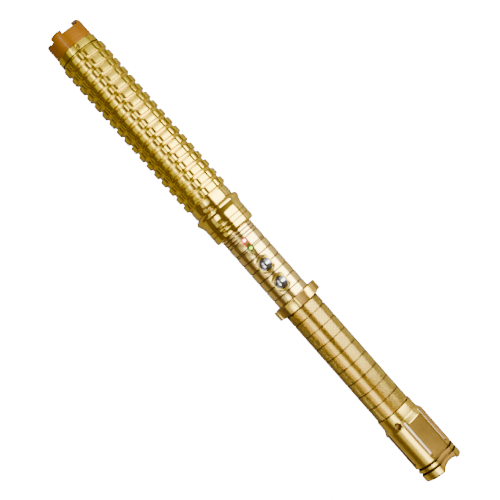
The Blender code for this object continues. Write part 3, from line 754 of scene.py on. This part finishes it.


def make_control():
    """The smooth tube: engraved rings, two spot-faced button seats and two lamp holes."""
    front_spigot, rear_spigot = stations("control_tube")
    start = stations("flared_collar")[1] + GAP
    end = stations("guard_ring")[0] - GAP
    outer = radius_of("control_tube")
    bore, front_r, rear_r = 10.5, 11.8, 11.6
    outline = [(front_spigot, bore), (front_spigot, front_r), (start, front_r)]
    outline.append((start, outer, 0.3))
    for station in ENGRAVED:
        outline += groove(station, outer, *ENGRAVED_SIZE)
    outline += [(end, outer, 0.3), (end, rear_r), (rear_spigot, rear_r), (rear_spigot, bore)]
    tube = revolve("control_body", outline)
    height = 9.0
    tools = []
    for node in BUTTONS:
        station = middle_station(node)
        face = spoke(station, 0, SPOT_FACE_FLOOR + height / 2)
        tools.append(rod(SPOT_FACE_R, height, face, 72))
        tools.append(rod(BUTTON_HOLE_R, height, spoke(station, 0, SPOT_FACE_FLOOR), 48))
    for node in LAMPS:
        station = middle_station(node)
        face = spoke(station, 0, LAMP_RECESS_FLOOR + height / 2)
        tools.append(rod(LAMP_RECESS_R, height, face, 40))
        tools.append(rod(LAMP_HOLE_R, height, spoke(station, 0, LAMP_RECESS_FLOOR), 32))
    carve(tube, tools)
    break_edges(tube, 0.10)
    dress(tube, CHAMPAGNE, TORCH, "control_tube")

    def in_ring(centre, normal):
        """Painted shade inside an engraved ring: the spot faces' level floors, which cross them,
        are left out.
        """
        ring = in_area(centre, start + 1, end - 1, outer - 0.5, outer - 0.06)
        return ring and normal.z < 0.9999

    # Painted shade in the engraved rings.
    paint_faces(tube, PAINTED_SHADE, in_ring)
    # Painted glow: the metal round each lamp shines in its colour.
    for node, mat in zip(LAMPS, (RED_PAINTED_GLOW, GREEN_PAINTED_GLOW)):
        station = middle_station(node)
        paint_faces(tube, mat, lambda centre, normal: centre.z > 11
                    and math.hypot(station_of(centre) - station, centre.y) < LIT_R)


def make_button(node):
    """A domed chrome cap with a rolled edge; below the wall it keeps its flange and stem."""
    low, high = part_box(node)
    top = high.z / MM
    stem_end = low.z / MM
    cap_r, flange_r, stem_r = 4.2, 4.9, 1.5
    flange = (8.2, 9.0)
    shoulder = 12.5
    outline = [(stem_end, 0), (stem_end, stem_r), (flange[0], stem_r), (flange[0], flange_r)]
    outline += [(flange[1], flange_r), (flange[1], cap_r), (shoulder, cap_r, 0.25)]
    outline.append((shoulder, cap_r - 0.45, 0.12))
    steps = 14
    dome_r = cap_r - 0.5
    rise = top - shoulder - 0.05
    ball_r = (dome_r ** 2 + rise ** 2) / (2 * rise)
    for i in range(steps + 1):
        radius = dome_r * (1 - i / steps)
        outline.append((top - ball_r + math.sqrt(ball_r ** 2 - radius ** 2), radius))
    cap = revolve(node + "_cap", outline, 72, middle_station(node))
    dress(cap, CHROME, node, node)


def make_button_spring(node):
    """The return spring between the control board's switch and the button's flange: a copy of the
    CAD coil in spring steel.
    """
    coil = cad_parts[node + "_spring"]
    spring = new_object(node + "_coil", coil.data.copy())
    spring.matrix_world = coil.matrix_world.copy()
    spring.data.materials.clear()
    spring.data.materials.append(SPRING_STEEL)
    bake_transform(spring)
    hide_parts(node + "_spring")


def make_button_seat(node):
    """A thin raised lip round the button's hole, on the floor of the spot face."""
    bottom, top = 11.62, 12.05
    outline = [(bottom, BUTTON_HOLE_R), (bottom, 5.25), (11.95, 5.15, 0.12), (top, 4.75, 0.1)]
    outline.append((top, BUTTON_HOLE_R + 0.01, 0.1))
    seat = revolve(node + "_seat", outline, 72, middle_station(node))
    dress(seat, GOLD, TORCH, None)


def make_lamp(node, mat):
    """The clear dome of an indicator and the guide below it."""
    low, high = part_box(node)
    radius = (high.y - low.y) / 2 / MM
    top, bottom = high.z / MM, low.z / MM
    outline = [(bottom, 0), (bottom, radius), (top - radius, radius)]
    steps = 10
    for i in range(1, steps + 1):
        angle = i / steps * math.pi / 2
        outline.append((top - radius + radius * math.sin(angle),
                        radius * math.cos(angle) if i < steps else 0))
    dress(revolve(node + "_dome", outline, 40, middle_station(node)), mat, TORCH, node)


# ---------------------------------------------------------------- guard ring and grip

LOBES = 6
FIRST_SCALLOP = math.radians(-13)


def make_guard():
    """Lobes between shallow scallops, every edge rounded, and a low hub behind them."""
    start, end = stations("guard_ring")
    outer = radius_of("guard_ring")
    middle = (start + end) / 2
    bore, hub_r, hub = 11.95, 14.6, 0.8
    waist_r, scallop_r, cutter = 15.9, 9.0, 20.0
    outline = [(start, bore), (start, outer, 0.2), (end - hub, outer, 0.2)]
    outline += [(end - hub, hub_r), (end, hub_r, 0.2), (end, bore)]
    ring = revolve("guard_lobes", outline)
    tools = []
    along = Matrix.Rotation(math.pi / 2, 4, "Y")
    for i in range(LOBES):
        place = spoke(middle, FIRST_SCALLOP + i * math.tau / LOBES, waist_r + scallop_r)
        tools.append(rod(scallop_r, cutter, place @ along, 96))
    carve(ring, tools)
    break_edges(ring, 0.9, 4)
    dress(ring, SATIN, TORCH, "guard_ring")
    # Painted shade: the scallops take the dark brown colour.
    paint_faces(ring, MILLED_SHADE, lambda centre, normal: abs(normal.x) < 0.3
                and hub_r + 0.3 < reach_of(centre) < outer - 0.55)
    # Painted shade: the hub behind the lobes is dark, as a shaded gap before the grip.
    paint_faces(ring, PAINTED_SHADE, lambda centre, normal: station_of(centre) > end - hub + 0.1)


GRIP_RINGS = 8
GRIP_FIRST_RING = 256.1
GRIP_RING_PITCH = 10.83
GRIP_RING_HALF = 0.38      # half the gap that a ring leaves between two knurled sleeves
GRIP_END_GAP = 0.35
CORE_DROP = 0.38
KNURLS_ROUND = 56
KNURL_LAND = 0.62
KNURL_DEPTH = 0.20


def make_grip_core(rings, core_r):
    """The tube below the knurl, with its bores, its rear spigot and the seal's groove."""
    start, end = stations("grip_tube")
    shoulder = stations("tail_cap")[0] - GAP
    counterbore, bore, spigot = 11.9, 9.6, 11.4
    groove_at, groove_r = (345.2, 347.6), 10.0
    rear_bore = stations("control_tube")[1] + 1.0
    outline = [(start, counterbore), (start, core_r, 0.2)]
    for station in rings:
        outline += groove(station, core_r, *FINE_LINE)
    outline += [(shoulder, core_r, 0.2), (shoulder, spigot), (groove_at[0], spigot)]
    outline += [(groove_at[0], groove_r), (groove_at[1], groove_r), (groove_at[1], spigot)]
    outline += [(end, spigot), (end, bore), (rear_bore, bore), (rear_bore, counterbore)]
    core = revolve("grip_core", outline)
    # Painted shade: the whole core is dark, and shows only in the gaps between the knurled sleeves.
    dress(core, PAINTED_SHADE, TORCH, "grip_tube")


def make_knurl_band(name, start, end, peak_r, inner_r):
    """One sleeve of flat-topped diamond knurl between crossing grooves."""
    pitch = math.tau / KNURLS_ROUND
    rows = max(2, round((end - start) / (pitch * peak_r / 2)))
    step = (end - start) / rows
    bm = bmesh.new()

    def vertex(row, turn, radius):
        y, z = around(turn * pitch, radius)
        return bm.verts.new(Vector((x_at(start + step * row), y, z)) * MM)

    nodes = [[vertex(k, c + 0.5 * (k % 2), peak_r - KNURL_DEPTH) for c in range(KNURLS_ROUND)]
             for k in range(rows + 1)]
    rims = {0: [], rows: []}
    for k in range(rows + 1):
        for c in range(KNURLS_ROUND):
            centre = c + 0.5 * (k % 2) + 0.5
            across = (c + k % 2) % KNURLS_ROUND
            left, right = nodes[k][c], nodes[k][(c + 1) % KNURLS_ROUND]
            land_left = vertex(k, centre - 0.5 * KNURL_LAND, peak_r)
            land_right = vertex(k, centre + 0.5 * KNURL_LAND, peak_r)
            land = [land_left]
            for way in (-1, 1):
                if 0 <= k + way <= rows:
                    tip = nodes[k + way][across]
                    land_tip = vertex(k + way * KNURL_LAND, centre, peak_r)
                    # Painted shade: the groove flanks take the second, dark material.
                    for corners in ((left, tip, land_tip, land_left),
                                    (tip, right, land_right, land_tip)):
                        bm.faces.new(corners).material_index = 1
                    land.insert(1 if way < 0 else len(land), land_tip)
            land.insert(2 if k > 0 else 1, land_right)
            bm.faces.new(land)
            if k in rims:
                rims[k] += [left, land_left, land_right]
    walls = []
    for k, rim in rims.items():
        inner = []
        for outer_vertex in rim:
            y, z = around(math.atan2(outer_vertex.co.y, outer_vertex.co.z), inner_r)
            inner.append(bm.verts.new((outer_vertex.co.x, y * MM, z * MM)))
        join_rings(bm, rim, inner)
        walls.append(inner)
    join_rings(bm, *walls)
    bmesh.ops.recalc_face_normals(bm, faces=bm.faces)
    band = from_bmesh(name, bm)
    dress(band, KNURL, TORCH, None)
    # The second material is the painted shade of the groove flanks.
    band.data.materials.append(VALLEY_SHADE)


def make_grip():
    """A core with eight turned rings, and a knurled sleeve between each two of them."""
    start = stations("grip_tube")[0]
    shoulder = stations("tail_cap")[0] - GAP
    outer = radius_of("grip_tube")
    inner = outer - 0.8
    rings = [GRIP_FIRST_RING + GRIP_RING_PITCH * i for i in range(GRIP_RINGS)]
    make_grip_core(rings, outer - CORE_DROP)
    edges = [start + GRIP_END_GAP]
    for ring in rings:
        edges += [ring - GRIP_RING_HALF, ring + GRIP_RING_HALF]
    edges.append(shoulder - GRIP_END_GAP)
    for i in range(GRIP_RINGS + 1):
        make_knurl_band(f"knurl_band_{i + 1}", edges[2 * i], edges[2 * i + 1], outer, inner)


# ---------------------------------------------------------------- tail cap

TAIL_CONE = (350.2, 354.2)
TAIL_BORE_STEP = 358.6
TAIL_RINGS = (384.3, 388.3)
TAIL_RING_R = 13.6
TAIL_RING_HALF = 0.5
TAIL_RING_LIP = 0.85       # half its width at the surface, where TAIL_RING_HALF is at its floor

# These cutters' places are the stations and the radii of their middles, and the angles are
# in degrees from the top, at equal steps round the cap.
FLAT_COUNT = 3
FLAT_ANGLE = -25
FLAT_SIZE = (42.6, 13.2, 4.0)
FLAT_PLACE = (375.7, 16.0)
RIM_CUT = 3.5
RIM_CUT_R = 11.25
SLOT_COUNT = 6
SLOT_ANGLE = 1.0
SLOT_SIZE = (28.0, 1.3, 4.0)
SLOT_TOP_R = 5.6
SLOT_PLACE = (365.4, 16.9)
DIMPLE_COUNT = 3
DIMPLE_ANGLE = 20
DIMPLE_R = 3.0
DIMPLE_PLACE = (350.6, 16.2)

# Where the cut cap's painted shade and painted highlight go: two stations and two radii each.
MILLED_AREA = (354.5, 400.0, 13.9, 15.95)
RING_AREA = (383.3, 389.2, 13.5, 15.75)
SLOT_SIDE_AREA = (355.0, 381.5, 14.7, 15.75)
SLOT_FLOOR_AREA = (352.0, 380.5, 14.80, 14.98)


def even_angles(first, count):
    """Angles at equal steps round the torch; the first of them is given in degrees."""
    return [math.radians(first + 360 // count * i) for i in range(count)]


def tail_outline():
    """The uncut cap: collar, cone, cylinder with two grooves, recessed end and bores."""
    start, end = stations("tail_cap")
    outer = radius_of("tail_cap")
    collar_r, front_bore, bore, floor = 14.1, 12.1, 9.6, 389.0
    recess_r, recess_floor = 12.6, 391.3
    outline = [(start, front_bore), (start, collar_r, 0.35), (TAIL_CONE[0], collar_r, 0.4)]
    outline.append((TAIL_CONE[1], outer, 0.6))
    for ring in TAIL_RINGS:
        outline.append((ring - TAIL_RING_LIP, outer, 0.2))
        outline.append((ring - TAIL_RING_HALF, TAIL_RING_R, 0.3))
        outline.append((ring + TAIL_RING_HALF, TAIL_RING_R, 0.3))
        outline.append((ring + TAIL_RING_LIP, outer, 0.2))
    outline += [(end, outer, 1.6), (end, recess_r, 0.3), (recess_floor, recess_r, 0.3)]
    outline += [(recess_floor, 0), (floor, 0), (floor, bore)]
    outline += [(TAIL_BORE_STEP, bore), (TAIL_BORE_STEP, front_bore)]
    return outline


def make_tail():
    """A cup with a conical shoulder, three flats, six slots, two grooves and a cut-out rim."""
    end = stations("tail_cap")[1]
    cap = revolve("tail_body", tail_outline())
    tools = []
    for angle in even_angles(FLAT_ANGLE, FLAT_COUNT):
        tools.append(block(FLAT_SIZE, spoke(FLAT_PLACE[0], angle, FLAT_PLACE[1])))
        tools.append(rod(RIM_CUT_R, 12.0, spoke(end - RIM_CUT + RIM_CUT_R, angle, 16.5), 96))
    slot_angles = even_angles(SLOT_ANGLE, SLOT_COUNT)
    for angle in slot_angles:
        place = spoke(SLOT_PLACE[0], angle, SLOT_PLACE[1])
        tools.append(stadium(*SLOT_SIZE, place, SLOT_TOP_R))
    dimples = [spoke(DIMPLE_PLACE[0], angle, DIMPLE_PLACE[1])
               for angle in even_angles(DIMPLE_ANGLE, DIMPLE_COUNT)]
    tools += [ball(DIMPLE_R, place) for place in dimples]
    carve(cap, tools)
    break_edges(cap, 0.22)
    dress(cap, SATIN, "tail_cap", "tail_cap")

    def outward(centre, normal):
        """1 where a face looks straight away from the axis."""
        return (centre.y * normal.y + centre.z * normal.z) / reach_of(centre)

    def milled(centre, normal):
        slotted = min(abs(math.sin(angle_of(centre) - angle)) for angle in slot_angles) < 0.10
        return in_area(centre, *MILLED_AREA) and abs(normal.x) < 0.3 and not slotted

    def turned_in(centre, normal):
        wall_or_floor = abs(normal.x) > 0.3 or reach_of(centre) < TAIL_RING_R + 0.3
        return in_area(centre, *RING_AREA) and wall_or_floor

    def slot_side(centre, normal):
        return in_area(centre, *SLOT_SIDE_AREA) and outward(centre, normal) < 0.93

    def slot_bottom(centre, normal):
        return in_area(centre, *SLOT_FLOOR_AREA) and outward(centre, normal) > 0.99

    def in_dimple(centre, normal):
        nearest = min((centre * MM - place.translation).length for place in dimples)
        return nearest < (DIMPLE_R + 0.03) * MM

    # Painted shade on the flats, in the grooves, on the slots' walls and in the dimples; a painted
    # highlight on the slots' floors.
    paint_faces(cap, MILLED_SHADE, milled)
    paint_faces(cap, VALLEY_SHADE, turned_in)
    paint_faces(cap, VALLEY_SHADE, slot_side)
    paint_faces(cap, SLOT_FLOOR_HIGHLIGHT, slot_bottom)
    paint_faces(cap, VALLEY_SHADE, in_dimple)


# ---------------------------------------------------------------- carried-over CAD nodes

def paint_inner_pieces():
    """Every CAD node that no piece here stands for gets its own finish."""
    finishes = {
        "lens": GLASS, "reflector": SILVERING, "lens_seal": RUBBER, "tail_seal": RUBBER,
        "led_emitter": PHOSPHOR, "led_board": BOARD, "lamp_driver_board": BOARD,
        "control_board": BOARD, "heat_sink": BRASS, "front_contact": BRASS,
        "tail_contact": BRASS, "tail_spring": SPRING_STEEL, "board_cradle": PLASTIC,
        "contact_insulator": PLASTIC, "power_switch": PLASTIC, "mode_switch": PLASTIC,
        "lamp_lead_negative": PLASTIC, "lamp_lead_positive": RED_SLEEVE,
        # The grub screw takes the dark painted shade.
        "front_cell": CELL_WRAP, "rear_cell": CELL_WRAP, "bezel_grub_screw": MILLED_SHADE,
    }
    for i in range(1, 9):
        finishes[f"crown_tip_{i}"] = DARK_STEEL
    for node, mat in finishes.items():
        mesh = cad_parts[node].data
        mesh.materials.clear()
        mesh.materials.append(mat)


# ---------------------------------------------------------------- stage

FLOOR_SIZE = 4.0
GROUND_GLOW = 20.0         # how bright the camera, and nothing else, sees the floor and the room
CAMERA_LENS = 79.0
CAMERA_HEIGHT = 0.7516
CAMERA_OFFSET = -0.00185   # along the picture's own horizontal


def make_floor():
    bm = bmesh.new()
    bmesh.ops.create_grid(bm, x_segments=1, y_segments=1, size=FLOOR_SIZE)
    floor = from_bmesh("floor", bm)
    floor.location.z = CAD_LOW.z
    floor.data.materials.append(floor_finish(GROUND_GLOW))


# Name, tilt, distance, length along the torch, width across it, power, and middle along X.
LIGHTS = (
    ("key_softbox", -48, 0.70, 0.42, 0.86, 13.0, 0.0),
    ("key_spill", -47, 0.72, 1.24, 0.96, 0.85, 0.345),
    ("front_fill", 20.5, 0.90, 0.24, 0.30, 3.2, 0.225),
    ("rear_fill", 27.5, 0.90, 0.66, 0.36, 9.0, -0.395),
    ("front_spill", 26, 0.95, 0.90, 0.86, 0.8, 0.56),
    ("rear_spill", 50, 0.95, 0.80, 0.34, 0.8, -0.36),
    ("front_strip", 26, 0.80, 0.70, 0.05, 12.0, 0.44),
)


def softbox(name, tilt, distance, along, across, power, middle):
    """A rectangle of light, tilted by degrees from overhead towards +Y, that faces the torch."""
    data = bpy.data.lights.new(name, "AREA")
    data.shape = "RECTANGLE"
    data.size = along
    data.size_y = across
    data.energy = power * along * across * math.pi
    light = new_object(name, data)
    angle = math.radians(tilt)
    light.location = (middle, distance * math.sin(angle), distance * math.cos(angle))
    light.rotation_euler.x = -angle


def make_world():
    """A dim room, a little brighter behind the key light; the camera itself sees it pale."""
    world = bpy.data.worlds.new("studio")
    bpy.context.scene.world = world
    world.use_nodes = True
    tree = world.node_tree
    tree.nodes.clear()
    place = tree.nodes.new("ShaderNodeTexCoord")
    split = tree.nodes.new("ShaderNodeSeparateXYZ")
    shift = tree.nodes.new("ShaderNodeMapRange")
    shift.inputs["From Min"].default_value = -1.0
    ramp = tree.nodes.new("ShaderNodeValToRGB")
    ramp.color_ramp.elements[0].position = 0.15
    ramp.color_ramp.elements[0].color = (0.42, 0.38, 0.32, 1)
    ramp.color_ramp.elements[1].position = 0.50
    ramp.color_ramp.elements[1].color = (0.16, 0.11, 0.06, 1)
    tree.links.new(place.outputs["Generated"], split.inputs["Vector"])
    tree.links.new(split.outputs["Y"], shift.inputs["Value"])
    tree.links.new(shift.outputs["Result"], ramp.inputs["Fac"])
    seen = tree.nodes.new("ShaderNodeBackground")
    seen.inputs["Color"].default_value = (0.95, 0.95, 0.95, 1)
    seen.inputs["Strength"].default_value = GROUND_GLOW
    lit = tree.nodes.new("ShaderNodeBackground")
    tree.links.new(ramp.outputs["Color"], lit.inputs["Color"])
    rays = tree.nodes.new("ShaderNodeLightPath")
    mix = tree.nodes.new("ShaderNodeMixShader")
    out = tree.nodes.new("ShaderNodeOutputWorld")
    tree.links.new(rays.outputs["Is Camera Ray"], mix.inputs["Fac"])
    tree.links.new(lit.outputs["Background"], mix.inputs[1])
    tree.links.new(seen.outputs["Background"], mix.inputs[2])
    tree.links.new(mix.outputs["Shader"], out.inputs["Surface"])


def make_lights():
    """The key is hot at its middle only; the fill leaves out the stretch over the collar."""
    for light in LIGHTS:
        softbox(*light)


def make_camera():
    """Straight above the torch, turned so that the lamp end points to the upper left."""
    data = bpy.data.cameras.new("camera")
    data.sensor_width = 36.0
    data.lens = CAMERA_LENS
    camera = new_object("camera", data)
    right = Vector((-0.660, -0.751, 0)).normalized()
    up = Vector((0.751, -0.660, 0)).normalized()
    back = Vector((0, 0, 1))
    place = Matrix((right, up, back)).transposed().to_4x4()
    camera.matrix_world = Matrix.Translation(back * CAMERA_HEIGHT + right * CAMERA_OFFSET) @ place
    bpy.context.scene.camera = camera


def main():
    make_camera()
    make_crown()
    make_bezel_ring()
    make_head()
    make_neck()
    make_collar()
    make_control()
    for node in BUTTONS:
        make_button(node)
        make_button_seat(node)
        make_button_spring(node)
    make_lamp("red_indicator", RED_DOME)
    make_lamp("green_indicator", GREEN_DOME)
    make_guard()
    make_grip()
    make_tail()
    paint_inner_pieces()
    make_floor()
    make_world()
    make_lights()


main()
